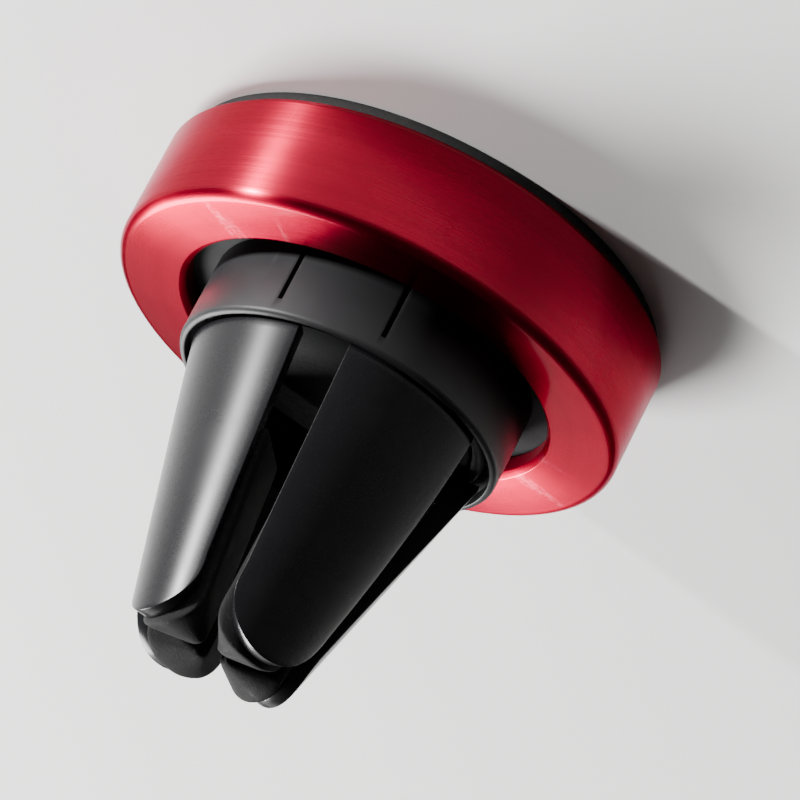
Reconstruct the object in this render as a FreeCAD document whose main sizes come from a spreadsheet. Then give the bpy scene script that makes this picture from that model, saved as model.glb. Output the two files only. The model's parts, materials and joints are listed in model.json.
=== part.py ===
"""Car phone mount: a magnetic head in a metal ring, and a four-pronged clip for an air vent's blade.

The mount stands on its pad's contact face. The origin is the centre of that face and +Z runs
through the head to the prongs' tips. A narrow slot between the prongs opens towards -Y and +Y,
and a wedge-shaped slot towards -X and +X. Millimetres and degrees throughout.
"""
import FreeCAD, Part
import math
import os
import Sketcher

DRIVING_SIZES = [
    # Head
    ("ring_radius", 16.3, "outside of the metal ring"),
    ("ring_depth", 7.4, "metal ring, front edge to back face"),
    ("ring_wall", 1.3, "side wall of the ring"),
    ("ring_front_chamfer", 0.5, "outer front edge"),
    ("ring_back_round", 0.9, "outer back edge"),
    ("hole_chamfer", 0.35, "back edge of the ring's hole"),
    ("lip_thick", 1.4, "rear lip that traps the clip"),
    ("shoulder_width", 1.0, "step that the yoke plate seats on"),
    ("pad_proud", 0.8, "pad in front of the ring"),
    ("pad_plug", 0.8, "pad inside the ring's bore"),
    ("pad_inset", 0.2, "pad inside the ring's chamfer"),
    ("pad_edge_round", 0.3, "front edge of the pad"),
    ("bond_gap", 0.05, "radial gap of a bonded joint"),
    ("tape_thick", 0.2, "double-sided tape"),
    ("tape_margin", 0.6, "tape inside the bore"),
    ("carrier_skin", 0.4, "carrier in front of the magnets"),
    ("yoke_thick", 0.8, "steel plate behind the magnets"),
    ("yoke_hole_radius", 2.0, "hole in the middle of the plate"),
    ("magnet_radius", 3.5, "disc magnet"),
    ("magnet_circle", 9.2, "radius of the circle of magnets"),
    ("magnet_gap", 0.05, "round each magnet"),
    ("magnet_chamfer", 0.15, "edges of each magnet"),
    ("magnet_count", 6, "magnets"),
    # Swivel
    ("washer_thick", 0.4, "friction washer"),
    ("washer_width", 4.0, "friction washer, inside to outside radius"),
    ("swivel_play", 0.1, "either side of the flange"),
    ("swivel_gap", 0.3, "round the flange"),
    ("flange_thick", 1.2, "hub's flange"),
    # Collar
    ("collar_radius", 10.35, "outside of the collar"),
    ("collar_gap", 1.45, "between the collar and the ring's hole"),
    ("collar_wall", 0.95, "collar's wall"),
    ("collar_lip_wall", 0.45, "collar's wall at its open end"),
    ("collar_lip_depth", 0.8, "length of the thin end"),
    ("collar_chamfer", 0.2, "outer edge of the open end"),
    ("collar_stand", 3.8, "collar past the ring's back face"),
    ("collar_fit", 0.05, "between the collar and the hub"),
    ("slit_angle", 18.6, "slit, from the middle of its tongue"),
    ("slit_width", 0.3, "slit either side of a tongue"),
    ("slit_end", 1.1, "solid collar past a slit's end"),
    ("barb_depth", 0.4, "barb inside a tongue"),
    ("barb_long", 0.8, "barb along the collar"),
    ("barb_start", 0.6, "barb above the flange"),
    ("barb_gap", 0.1, "between a barb and its recess"),
    ("barb_margin", 3.0, "angle from a barb's side to its slit"),
    # Prongs
    ("root_radius", 9.55, "outside of the prongs at the collar's end"),
    ("tip_radius", 5.15, "outside of the prongs at the shells' tips"),
    ("prong_reach", 17.4, "shells past the collar's end"),
    ("root_wall", 1.5, "shell at its root"),
    ("tip_wall", 0.8, "shell at its tip"),
    ("tip_round", 3.7, "radius of a shell's rounded tip"),
    ("shell_lift", 0.4, "between the hub's top and a shell"),
    ("narrow_root", 1.6, "half the narrow slot at the root"),
    ("narrow_tip", 1.05, "half the narrow slot at the tip"),
    ("wedge_root", 3.1, "half the wedge slot at the root"),
    ("wedge_waist", 1.5, "half the wedge slot at its waist"),
    ("wedge_tip", 0.5, "half the wedge slot at the tip"),
    ("waist_height", 7.0, "wedge slot's waist past the collar's end"),
    # Linings
    ("lining_start", 5.2, "lining's root past the collar's end"),
    ("lining_proud", 0.4, "lining past a shell's tip"),
    ("lining_core", 0.9, "radius of the hollow between the linings"),
    ("lining_narrow_root", 1.15, "half the narrow slot between linings, at their root"),
    ("lining_narrow_tip", 0.25, "half the narrow slot between linings, at their tip"),
    ("lining_wedge_root", 1.3, "half the wedge slot between linings, at their root"),
    ("lining_wedge_tip", 0.15, "half the wedge slot between linings, at their tip"),
    ("lining_tip_round", 3.2, "radius of a lining's rounded tip"),
    ("lining_round", 0.5, "outer edge of a lining's tip"),
    ("lining_inner_round", 0.9, "inner edge of a lining's tip"),
    # Feet, pins and hub
    ("hub_recess", 0.8, "hub's top below the collar's end"),
    ("hub_web", 2.4, "hub above its blind bore"),
    ("hub_bore", 4.5, "radius of the blind bore"),
    ("foot_gap", 0.45, "between a foot and the collar"),
    ("foot_thick", 2.3, "foot, inside to outside"),
    ("foot_angle", 36, "angle that a foot spans"),
    ("foot_drop", 1.3, "foot below its pin"),
    ("foot_floor", 0.3, "below and behind a foot"),
    ("foot_side", 0.2, "either side of a foot"),
    ("gusset", 2.0, "foot's ramp up the inside of the shell"),
    ("gusset_bite", 0.45, "top of the ramp inside the shell's wall"),
    ("pin_depth", 1.6, "pin below the hub's top"),
    ("pin_inset", 1.1, "pin outside the foot's inner face"),
    ("pin_radius", 0.5, "hinge pin"),
    ("pin_end_gap", 0.25, "between a hinge pin's end and the collar"),
    ("pin_chamfer", 0.1, "ends of a hinge pin"),
    ("pin_press", 0.01, "round a pin in the hub"),
    ("pin_running", 0.05, "round a pin in a foot"),
    ("band_thick", 0.42, "radius of the closing band's section"),
    ("band_gap", 0.16, "round the closing band"),
    ("overcut", 1.0, "how far a cut runs past the solid"),
]

doc = FreeCAD.newDocument("PhoneMount")
sheet = doc.addObject("Spreadsheet::Sheet", "Sizes")
for row, (alias, amount, meaning) in enumerate(DRIVING_SIZES, start=1):
    sheet.set(f"A{row}", str(amount))
    sheet.set(f"B{row}", meaning)
    sheet.setAlias(f"A{row}", alias)
doc.recompute()


class Size:
    """An expression over the sheet's aliases, with plain arithmetic."""

    def __init__(self, text):
        self.text = str(text)

    def __add__(self, other):
        return Size(f"({self.text} + {Size.of(other)})")

    def __sub__(self, other):
        return Size(f"({self.text} - {Size.of(other)})")

    def __mul__(self, other):
        return Size(f"({self.text} * {Size.of(other)})")

    def __truediv__(self, other):
        return Size(f"({self.text} / {Size.of(other)})")

    def __neg__(self):
        return Size(f"(0 - {self.text})")

    def number(self):
        value = sheet.evalExpression(self.text)
        return float(getattr(value, "Value", value))

    @staticmethod
    def of(thing):
        return thing.text if isinstance(thing, Size) else str(thing)


def size(alias):
    """The named driving size."""
    return Size(f"Sizes.{alias}")


def atan(ratio):
    """The angle whose tangent is the ratio, as a plain number of degrees."""
    return Size(f"(atan({ratio.text}) / 1 deg)")


def root(square):
    return Size(f"sqrt({square.text})")


ZERO = Size(0)
FULL_TURN = 360
HALF_TURN = 180
QUARTER_TURN = 90
NEAR = 1e-4
PRONG_AZIMUTHS = [45, 135, 225, 315]
TONGUE_AZIMUTHS = [90, 270]

# Heights, from the pad's contact face up.
ring_front = size("pad_proud")
ring_back = ring_front + size("ring_depth")
tape_front = ring_front + size("pad_plug")
carrier_front = tape_front + size("tape_thick")
magnet_front = carrier_front + size("carrier_skin")
lip_front = ring_back - size("lip_thick")
flange_top = lip_front - size("swivel_play")
flange_bottom = flange_top - size("flange_thick")
washer_back = flange_bottom - size("swivel_play")
yoke_back = washer_back - size("washer_thick")
yoke_front = yoke_back - size("yoke_thick")
collar_end = ring_back + size("collar_stand")
hub_top = collar_end - size("hub_recess")
shell_start = hub_top + size("shell_lift")
shell_tip = collar_end + size("prong_reach")
lining_start = collar_end + size("lining_start")
lining_tip = shell_tip + size("lining_proud")
pin_height = hub_top - size("pin_depth")
foot_bottom = pin_height - size("foot_drop")
band_seat = pin_height + size("pin_radius") + size("pin_running") + size("foot_side")
band_height = band_seat + size("band_gap") + size("band_thick")
band_groove_top = band_height + size("band_thick") + size("band_gap") + size("pin_running")

# Radii.
bore = size("ring_radius") - size("ring_wall")
chamber = bore - size("shoulder_width")
hole = size("collar_radius") + size("collar_gap")
flange = chamber - size("swivel_gap")
collar_inside = size("collar_radius") - size("collar_wall")
collar_lip_inside = size("collar_radius") - size("collar_lip_wall")
boss = collar_inside - size("collar_fit")
foot_outside = collar_inside - size("foot_gap")
foot_inside = foot_outside - size("foot_thick")
pin_circle = foot_inside + size("pin_inset")
band_circle = collar_inside - size("band_gap") - size("band_thick")
band_seat_radius = band_circle - size("band_thick") - size("band_gap")
shell_root_inside = size("root_radius") - size("root_wall")
shell_tip_inside = size("tip_radius") - size("tip_wall")
inside_slope = (shell_root_inside - shell_tip_inside) / size("prong_reach")
pin_corner = pin_circle + size("pin_radius")
pin_end = collar_inside - size("pin_end_gap")
half_pin = root(pin_end * pin_end - pin_corner * pin_corner)


def inside_radius(height):
    """Inside of the shells' wall at a height past the collar's end."""
    return shell_root_inside - inside_slope * (height - collar_end)


def origin_feature(body, role):
    """Plane or axis of the body's own origin."""
    return next(feature for feature in body.Origin.OriginFeatures if feature.Role == role)


def new_body(label):
    body = doc.addObject("PartDesign::Body", label)
    body.Label = label
    return body


def new_sketch(body, name, role, azimuth=0, lift=None):
    """Empty sketch on an origin plane. An XZ_Plane sketch may be turned about Z, an XY_Plane one lifted."""
    sketch = body.newObject("Sketcher::SketchObject", name)
    sketch.AttachmentSupport = (origin_feature(body, role), [""])
    sketch.MapMode = "FlatFace"
    turned = FreeCAD.Rotation(FreeCAD.Vector(0, 1, 0), azimuth)
    sketch.AttachmentOffset = FreeCAD.Placement(FreeCAD.Vector(), turned)
    if lift is not None:
        sketch.setExpression(".AttachmentOffset.Base.z", lift.text)
    return sketch


def vector(across, up):
    return FreeCAD.Vector(across.number(), up.number(), 0)


def hold_point(sketch, edge, end, across, up):
    """Hold one end of an edge at two named coordinates."""
    for kind, coordinate in (("DistanceX", across), ("DistanceY", up)):
        number = sketch.addConstraint(Sketcher.Constraint(kind, -1, 1, edge, end, coordinate.number()))
        sketch.setExpression(f"Constraints[{number}]", coordinate.text)


def draw_outline(sketch, corners):
    """Closed outline of straight runs through the corners, each an (across, up) pair of sizes."""
    points = [vector(across, up) for across, up in corners]
    for index, start in enumerate(points):
        finish = points[(index + 1) % len(points)]
        sketch.addGeometry(Part.LineSegment(start, finish))
    for index, (across, up) in enumerate(corners):
        following = (index + 1) % len(corners)
        sketch.addConstraint(Sketcher.Constraint("Coincident", index, 2, following, 1))
        hold_point(sketch, index, 1, across, up)
    return sketch


def draw_circle(sketch, across, up, radius):
    circle = Part.Circle(vector(across, up), FreeCAD.Vector(0, 0, 1), radius.number())
    edge = sketch.addGeometry(circle)
    hold_point(sketch, edge, 3, across, up)
    number = sketch.addConstraint(Sketcher.Constraint("Radius", edge, radius.number()))
    sketch.setExpression(f"Constraints[{number}]", radius.text)
    return sketch


def turn_profile(body, name, kind, corners, azimuth=0, angle=FULL_TURN):
    """Revolution or Groove of a (radius, height) profile about Z, centred on the azimuth."""
    sketch = draw_outline(new_sketch(body, f"{name}_profile", "XZ_Plane", azimuth), corners)
    feature = body.newObject(f"PartDesign::{kind}", name)
    feature.Profile = sketch
    feature.ReferenceAxis = (sketch, ["V_Axis"])
    feature.Midplane = True
    if isinstance(angle, Size):
        feature.Angle = angle.number()
        feature.setExpression("Angle", angle.text)
    else:
        feature.Angle = angle
    return feature


def cut_through(body, name, sketch, width=None):
    """Pocket on both sides of the sketch, all the way or over a named width."""
    feature = body.newObject("PartDesign::Pocket", name)
    feature.Profile = sketch
    feature.SideType = "Symmetric"
    if width is None:
        feature.Type = "ThroughAll"
    else:
        feature.Type = "Length"
        feature.setExpression("Length", width.text)
    return feature


def repeat_about_z(body, name, feature, count):
    pattern = body.newObject("PartDesign::PolarPattern", name)
    pattern.Originals = [feature]
    pattern.Axis = (origin_feature(body, "Z_Axis"), [""])
    pattern.Angle = FULL_TURN
    if isinstance(count, Size):
        pattern.setExpression("Occurrences", count.text)
    else:
        pattern.Occurrences = count
    body.Tip = pattern
    return pattern


def circle_edges(body, radius, height):
    """Names of the circular edges of a body at a radius about Z and a height."""
    found = []
    for number, edge in enumerate(body.Shape.Edges, start=1):
        curve = edge.Curve
        if not isinstance(curve, Part.Circle):
            continue
        if abs(curve.Radius - radius.number()) < NEAR and abs(curve.Center.z - height.number()) < NEAR:
            found.append(f"Edge{number}")
    return found


def dress(body, name, kind, edges, amount):
    """Fillet or Chamfer on named edges of the body's last feature."""
    base = body.Tip
    feature = body.newObject(f"PartDesign::{kind}", name)
    feature.Base = (base, edges)
    feature.setExpression("Radius" if kind == "Fillet" else "Size", amount.text)
    body.Tip = feature
    return feature


# ---------------------------------------------------------------- head

def make_ring_housing():
    body = new_body("ring_housing")
    chamfer = size("ring_front_chamfer")
    turn_profile(body, "RingWall", "Revolution", [
        (bore, ring_front),
        (size("ring_radius") - chamfer, ring_front),
        (size("ring_radius"), ring_front + chamfer),
        (size("ring_radius"), ring_back),
        (hole, ring_back),
        (hole, lip_front),
        (chamber, lip_front),
        (chamber, yoke_back),
        (bore, yoke_back),
    ])
    doc.recompute()
    back_edge = circle_edges(body, size("ring_radius"), ring_back)
    dress(body, "BackRound", "Fillet", back_edge, size("ring_back_round"))
    doc.recompute()
    dress(body, "HoleChamfer", "Chamfer", circle_edges(body, hole, ring_back), size("hole_chamfer"))
    return body


def make_front_pad():
    body = new_body("front_pad")
    face = size("ring_radius") - size("ring_front_chamfer") - size("pad_inset")
    plug = bore - size("bond_gap")
    turn_profile(body, "PadDisc", "Revolution", [
        (ZERO, ZERO),
        (face, ZERO),
        (face, ring_front),
        (plug, ring_front),
        (plug, tape_front),
        (ZERO, tape_front),
    ])
    doc.recompute()
    dress(body, "PadEdge", "Fillet", circle_edges(body, face, ZERO), size("pad_edge_round"))
    return body


def make_disc(label, radius, low, high, hole_radius=ZERO):
    """Flat disc or washer about Z."""
    body = new_body(label)
    turn_profile(body, "Disc", "Revolution", [
        (hole_radius, low),
        (radius, low),
        (radius, high),
        (hole_radius, high),
    ])
    return body


def make_magnet_carrier():
    body = make_disc("magnet_carrier", bore - size("bond_gap"), carrier_front, yoke_front)
    socket = new_sketch(body, "SocketCircle", "XY_Plane", lift=yoke_front)
    draw_circle(socket, size("magnet_circle"), ZERO, size("magnet_radius") + size("magnet_gap"))
    pocket = body.newObject("PartDesign::Pocket", "Socket")
    pocket.Profile = socket
    pocket.Type = "Length"
    pocket.setExpression("Length", (yoke_front - magnet_front).text)
    repeat_about_z(body, "Sockets", pocket, size("magnet_count"))
    return body


def make_magnet(number, count):
    """One disc magnet, in its socket of the carrier."""
    body = new_body(f"magnet_{number}")
    circle = draw_circle(new_sketch(body, "MagnetCircle", "XY_Plane"), ZERO, ZERO, size("magnet_radius"))
    disc = body.newObject("PartDesign::Pad", "MagnetDisc")
    disc.Profile = circle
    disc.setExpression("Length", (yoke_front - magnet_front).text)
    doc.recompute()
    rims = [name for height in (ZERO, yoke_front - magnet_front)
            for name in circle_edges(body, size("magnet_radius"), height)]
    dress(body, "MagnetEdges", "Chamfer", rims, size("magnet_chamfer"))
    turn = FULL_TURN * (number - 1) / count
    body.setExpression(".Placement.Base.x", f"{size('magnet_circle').text} * cos({turn})")
    body.setExpression(".Placement.Base.y", f"{size('magnet_circle').text} * sin({turn})")
    body.setExpression(".Placement.Base.z", magnet_front.text)
    return body


def make_head():
    count = int(size("magnet_count").number())
    pieces = [
        make_ring_housing(),
        make_front_pad(),
        make_disc("pad_tape", bore - size("tape_margin"), tape_front, carrier_front),
        make_magnet_carrier(),
        make_disc("yoke_plate", bore - size("bond_gap"), yoke_front, yoke_back, size("yoke_hole_radius")),
        make_disc("friction_washer", flange, yoke_back, washer_back, flange - size("washer_width")),
    ]
    pieces += [make_magnet(number, count) for number in range(1, count + 1)]
    return pieces


# ---------------------------------------------------------------- hub, collar and band

def make_clip_hub():
    body = new_body("clip_hub")
    web_bottom = hub_top - size("hub_web")
    turn_profile(body, "HubTurning", "Revolution", [
        (size("hub_bore"), flange_bottom),
        (flange, flange_bottom),
        (flange, flange_top),
        (boss, flange_top),
        (boss, band_seat),
        (band_seat_radius, band_seat),
        (band_seat_radius, hub_top),
        (ZERO, hub_top),
        (ZERO, web_bottom),
        (size("hub_bore"), web_bottom),
    ])
    pocket_inside = foot_inside - size("foot_floor")
    pocket_floor = foot_bottom - size("foot_floor")
    foot_pocket = turn_profile(body, "FootPocket", "Groove", [
        (pocket_inside, pocket_floor),
        (boss + size("overcut"), pocket_floor),
        (boss + size("overcut"), hub_top + size("overcut")),
        (pocket_inside, hub_top + size("overcut")),
    ], PRONG_AZIMUTHS[0], size("foot_angle") + atan(size("foot_side") / foot_inside) * 2)
    repeat_about_z(body, "FootPockets", foot_pocket, len(PRONG_AZIMUTHS))
    pin_sketch = new_sketch(body, "PinCircle", "XZ_Plane", PRONG_AZIMUTHS[0])
    draw_circle(pin_sketch, pin_circle, pin_height, size("pin_radius") + size("pin_press"))
    pin_hole = cut_through(body, "PinHole", pin_sketch)
    repeat_about_z(body, "PinHoles", pin_hole, len(PRONG_AZIMUTHS))
    recess_inside = collar_inside - size("barb_depth") - size("barb_gap")
    recess_bottom = flange_top + size("barb_start") - size("barb_gap")
    recess_top = recess_bottom + size("barb_long") + size("barb_gap") * 2
    recess = turn_profile(body, "BarbRecess", "Groove", [
        (recess_inside, recess_bottom),
        (boss + size("overcut"), recess_bottom),
        (boss + size("overcut"), recess_top),
        (recess_inside, recess_top),
    ], TONGUE_AZIMUTHS[0], size("slit_angle") * 2)
    repeat_about_z(body, "BarbRecesses", recess, len(TONGUE_AZIMUTHS))
    return body


def make_collar():
    body = new_body("collar")
    lip_start = collar_end - size("collar_lip_depth")
    slope = size("collar_wall") - size("collar_lip_wall")
    turn_profile(body, "CollarTube", "Revolution", [
        (collar_inside, flange_top),
        (size("collar_radius"), flange_top),
        (size("collar_radius"), collar_end - size("collar_chamfer")),
        (size("collar_radius") - size("collar_chamfer"), collar_end),
        (collar_lip_inside, collar_end),
        (collar_lip_inside, lip_start),
        (collar_inside, lip_start - slope),
    ])
    barb_bottom = flange_top + size("barb_start")
    barb_tip = collar_inside - size("barb_depth")
    barb_root = (collar_inside + size("collar_radius")) / 2
    barb_angle = (size("slit_angle") - size("barb_margin")) * 2
    for azimuth in TONGUE_AZIMUTHS:
        turn_profile(body, f"Barb{azimuth}", "Revolution", [
            (barb_tip, barb_bottom + size("barb_depth")),
            (barb_root, barb_bottom),
            (barb_root, barb_bottom + size("barb_long")),
            (barb_tip, barb_bottom + size("barb_long")),
        ], azimuth, barb_angle)
    slit_angle = size("slit_angle").number()
    for azimuth in TONGUE_AZIMUTHS:
        for side in (-1, 1):
            place = azimuth + side * slit_angle
            slit = new_sketch(body, f"SlitOutline{azimuth}_{side + 1}", "XZ_Plane", place)
            draw_outline(slit, [
                (barb_tip - size("overcut"), flange_top - size("overcut")),
                (size("collar_radius") + size("overcut"), flange_top - size("overcut")),
                (size("collar_radius") + size("overcut"), collar_end - size("slit_end")),
                (barb_tip - size("overcut"), collar_end - size("slit_end")),
            ])
            cut_through(body, f"Slit{azimuth}_{side + 1}", slit, size("slit_width"))
    return body


def make_closing_band():
    band = doc.addObject("Part::Torus", "closing_band")
    band.Label = "closing_band"
    band.setExpression("Radius1", band_circle.text)
    band.setExpression("Radius2", size("band_thick").text)
    band.setExpression(".Placement.Base.z", band_height.text)
    return band


def make_prong_pin(number, azimuth):
    body = new_body(f"prong_pin_{number}")
    circle = new_sketch(body, "PinCircle", "XZ_Plane", azimuth)
    draw_circle(circle, pin_circle, pin_height, size("pin_radius"))
    rod = body.newObject("PartDesign::Pad", "PinRod")
    rod.Profile = circle
    rod.SideType = "Symmetric"
    rod.setExpression("Length", (half_pin * 2).text)
    doc.recompute()
    ends = [f"Edge{place}" for place, edge in enumerate(body.Shape.Edges, start=1)
            if isinstance(edge.Curve, Part.Circle)]
    dress(body, "PinEnds", "Chamfer", ends, size("pin_chamfer"))
    return body


# ---------------------------------------------------------------- prongs

def bow_run(sketch, index, across, up):
    """Turn a straight run of an outline into an arc through a point, its ends where they were."""
    line = sketch.Geometry[index]
    arc = sketch.addGeometry(Part.Arc(line.StartPoint, vector(across, up), line.EndPoint))
    sketch.setConstruction(index, True)
    for end, arc_end in ((1, line.StartPoint), (2, line.EndPoint)):
        same = sketch.getPoint(arc, 1).distanceToPoint(arc_end) < NEAR
        sketch.addConstraint(Sketcher.Constraint("Coincident", index, end, arc, 1 if same else 2))
    middle = sketch.addGeometry(Part.Point(vector(across, up)), True)
    hold_point(sketch, middle, 1, across, up)
    sketch.addConstraint(Sketcher.Constraint("PointOnObject", middle, 1, arc))


def cut_slot(body, name, role, outline, waist=None):
    """Cut a slot that is symmetrical about Z.

    The outline gives (half width, height) from the root up. With a waist, its second run is an
    arc through that point.
    """
    right = list(outline)
    left = [(-half, height) for half, height in reversed(outline)]
    sketch = draw_outline(new_sketch(body, f"{name}Outline", role), right + left)
    if waist:
        half, height = waist
        run = 1
        mirrored_run = 2 * (len(outline) - 1) - run
        bow_run(sketch, run, half, height)
        bow_run(sketch, mirrored_run, -half, height)
    return cut_through(body, name, sketch)


def narrow_side(azimuth):
    """+1 where the narrow slot lies counter-clockwise of the prong, -1 where it lies clockwise."""
    return 1 if azimuth % HALF_TURN < QUARTER_TURN else -1


def round_tip(body, azimuth, tip, radius, narrow_half, wedge_half):
    """Cut away what lies outside a half-round end, centred between the prong's two edges."""
    shift = (wedge_half - narrow_half) * (narrow_side(azimuth) / math.sqrt(2))
    top = tip + size("overcut")
    centre_height = tip - radius
    side = radius + size("overcut")
    sketch = new_sketch(body, "TipOutline", "XZ_Plane", azimuth + QUARTER_TURN)
    circle = Part.Circle(vector(shift, centre_height), FreeCAD.Vector(0, 0, 1), radius.number())
    arc = sketch.addGeometry(Part.ArcOfCircle(circle, 0, math.pi))
    hold_point(sketch, arc, 3, shift, centre_height)
    number = sketch.addConstraint(Sketcher.Constraint("Radius", arc, radius.number()))
    sketch.setExpression(f"Constraints[{number}]", radius.text)
    corners = [
        (shift - radius, centre_height),
        (shift - side, centre_height),
        (shift - side, top),
        (shift + side, top),
        (shift + side, centre_height),
        (shift + radius, centre_height),
    ]
    points = [vector(across, up) for across, up in corners]
    first = arc + 1
    for start, finish in zip(points, points[1:]):
        sketch.addGeometry(Part.LineSegment(start, finish))
    last = first + len(points) - 2
    sketch.addConstraint(Sketcher.Constraint("Coincident", arc, 2, first, 1))
    sketch.addConstraint(Sketcher.Constraint("Coincident", last, 2, arc, 1))
    sketch.addConstraint(Sketcher.Constraint("Horizontal", first))
    sketch.addConstraint(Sketcher.Constraint("Horizontal", last))
    for edge in range(first, last):
        sketch.addConstraint(Sketcher.Constraint("Coincident", edge, 2, edge + 1, 1))
        across, up = corners[edge - first + 1]
        hold_point(sketch, edge, 2, across, up)
    return cut_through(body, "TipRound", sketch)


def make_prong_shell(number, azimuth):
    body = new_body(f"prong_shell_{number}")
    turn_profile(body, "ShellWall", "Revolution", [
        (shell_root_inside, shell_start),
        (size("root_radius"), shell_start),
        (size("root_radius"), collar_end),
        (size("tip_radius"), shell_tip),
        (shell_tip_inside, shell_tip),
        (shell_root_inside, collar_end),
    ], azimuth, QUARTER_TURN)
    top = shell_tip + size("overcut")
    bottom = shell_start - size("overcut")
    cut_slot(body, "NarrowSlot", "XZ_Plane", [
        (size("narrow_root"), bottom),
        (size("narrow_root"), collar_end),
        (size("narrow_tip"), shell_tip),
        (size("narrow_tip"), top),
    ])
    cut_slot(body, "WedgeSlot", "YZ_Plane", [
        (size("wedge_root"), bottom),
        (size("wedge_root"), collar_end),
        (size("wedge_tip"), shell_tip),
        (size("wedge_tip"), top),
    ], (size("wedge_waist"), collar_end + size("waist_height")))
    round_tip(body, azimuth, shell_tip, size("tip_round"), size("narrow_tip"), size("wedge_tip"))
    neck_top = collar_end + size("gusset")
    gusset_top = inside_radius(neck_top) + size("gusset_bite")
    turn_profile(body, "Foot", "Revolution", [
        (foot_inside, foot_bottom),
        (foot_outside, foot_bottom),
        (foot_outside, band_seat),
        (band_seat_radius, band_seat),
        (band_seat_radius, band_groove_top),
        (foot_outside, band_groove_top),
        (foot_outside, collar_end),
        (gusset_top, neck_top),
        (foot_inside, collar_end),
    ], azimuth, size("foot_angle"))
    pin_sketch = new_sketch(body, "PinCircle", "XZ_Plane", azimuth)
    draw_circle(pin_sketch, pin_circle, pin_height, size("pin_radius") + size("pin_running"))
    cut_through(body, "PinHole", pin_sketch)
    return body


def make_prong_lining(number, azimuth):
    body = new_body(f"prong_lining_{number}")
    fit = size("bond_gap")
    turn_profile(body, "LiningCore", "Revolution", [
        (size("lining_core"), lining_start),
        (inside_radius(lining_start) - fit, lining_start),
        (inside_radius(shell_tip) - fit, shell_tip),
        (inside_radius(lining_tip) - fit, lining_tip),
        (size("lining_core"), lining_tip),
    ], azimuth, QUARTER_TURN)
    top = lining_tip + size("overcut")
    bottom = lining_start - size("overcut")
    doc.recompute()
    outer = circle_edges(body, inside_radius(lining_tip) - fit, lining_tip)
    dress(body, "TipEdge", "Fillet", outer, size("lining_round"))
    doc.recompute()
    dress(body, "CoreEdge", "Fillet", circle_edges(body, size("lining_core"), lining_tip),
          size("lining_inner_round"))
    cut_slot(body, "NarrowSlot", "XZ_Plane", [
        (size("lining_narrow_root"), bottom),
        (size("lining_narrow_root"), lining_start),
        (size("lining_narrow_tip"), lining_tip),
        (size("lining_narrow_tip"), top),
    ])
    cut_slot(body, "WedgeSlot", "YZ_Plane", [
        (size("lining_wedge_root"), bottom),
        (size("lining_wedge_root"), lining_start),
        (size("lining_wedge_tip"), lining_tip),
        (size("lining_wedge_tip"), top),
    ])
    narrow_half, wedge_half = size("lining_narrow_tip"), size("lining_wedge_tip")
    round_tip(body, azimuth, lining_tip, size("lining_tip_round"), narrow_half, wedge_half)
    return body


def make_clip():
    pieces = [make_clip_hub(), make_collar(), make_closing_band()]
    for number, azimuth in enumerate(PRONG_AZIMUTHS, start=1):
        pieces.append(make_prong_pin(number, azimuth))
        pieces.append(make_prong_shell(number, azimuth))
        pieces.append(make_prong_lining(number, azimuth))
    return pieces


def check(pieces):
    """Stop on a failed feature, an empty shape or one that isn't a single valid solid."""
    doc.recompute()
    failed = [f"{thing.Label}: {thing.State}" for thing in doc.Objects
              if "Invalid" in thing.State or "Error" in thing.State]
    for piece in pieces:
        shape = piece.Shape
        if shape.isNull() or not shape.isValid():
            failed.append(f"{piece.Label}: no valid shape")
        elif len(shape.Solids) != 1:
            failed.append(f"{piece.Label}: {len(shape.Solids)} solids")
    if failed:
        raise RuntimeError("; ".join(failed))


def write(pieces):
    os.makedirs("parts", exist_ok=True)
    for piece in pieces:
        piece.Shape.exportStep(f"parts/{piece.Label}.step")
        box = piece.Shape.BoundBox
        print(f"{piece.Label}: volume {piece.Shape.Volume:.2f}, z {box.ZMin:.2f} to {box.ZMax:.2f}")


all_pieces = make_head() + make_clip()
check(all_pieces)
write(all_pieces)
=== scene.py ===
"""Car phone mount: a red anodised ring on a rubber pad, and a black four-pronged vent clip.

Shapes are drawn in millimetres and scaled to metres as each piece is finished. The origin is the
centre of the pad's contact face and +Z runs up the prongs to their tips.
"""
import json
import math

import bmesh
import bpy
from mathutils import Matrix, Vector


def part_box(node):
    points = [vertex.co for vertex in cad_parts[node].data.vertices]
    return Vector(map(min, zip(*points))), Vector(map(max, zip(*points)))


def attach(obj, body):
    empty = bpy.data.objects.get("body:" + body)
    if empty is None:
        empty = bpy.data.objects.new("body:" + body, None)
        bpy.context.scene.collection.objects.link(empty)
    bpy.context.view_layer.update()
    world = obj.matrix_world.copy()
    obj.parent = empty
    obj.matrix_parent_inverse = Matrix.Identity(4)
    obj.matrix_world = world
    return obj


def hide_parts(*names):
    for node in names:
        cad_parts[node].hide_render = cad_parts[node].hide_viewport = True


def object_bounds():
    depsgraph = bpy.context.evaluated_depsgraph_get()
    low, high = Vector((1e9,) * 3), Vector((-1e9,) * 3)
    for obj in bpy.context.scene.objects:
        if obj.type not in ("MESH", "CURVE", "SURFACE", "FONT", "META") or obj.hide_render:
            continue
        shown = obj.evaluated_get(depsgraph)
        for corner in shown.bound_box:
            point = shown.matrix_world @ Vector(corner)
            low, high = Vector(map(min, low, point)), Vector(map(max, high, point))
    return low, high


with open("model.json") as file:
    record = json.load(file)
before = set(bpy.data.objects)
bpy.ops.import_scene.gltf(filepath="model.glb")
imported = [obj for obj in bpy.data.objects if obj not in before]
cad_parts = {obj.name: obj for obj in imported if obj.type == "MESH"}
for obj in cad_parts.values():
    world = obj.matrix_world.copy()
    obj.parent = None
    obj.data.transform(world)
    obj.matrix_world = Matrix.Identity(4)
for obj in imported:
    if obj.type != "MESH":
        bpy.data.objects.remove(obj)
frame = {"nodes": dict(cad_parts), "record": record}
cad_box = [list(corner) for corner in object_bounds()]

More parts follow.
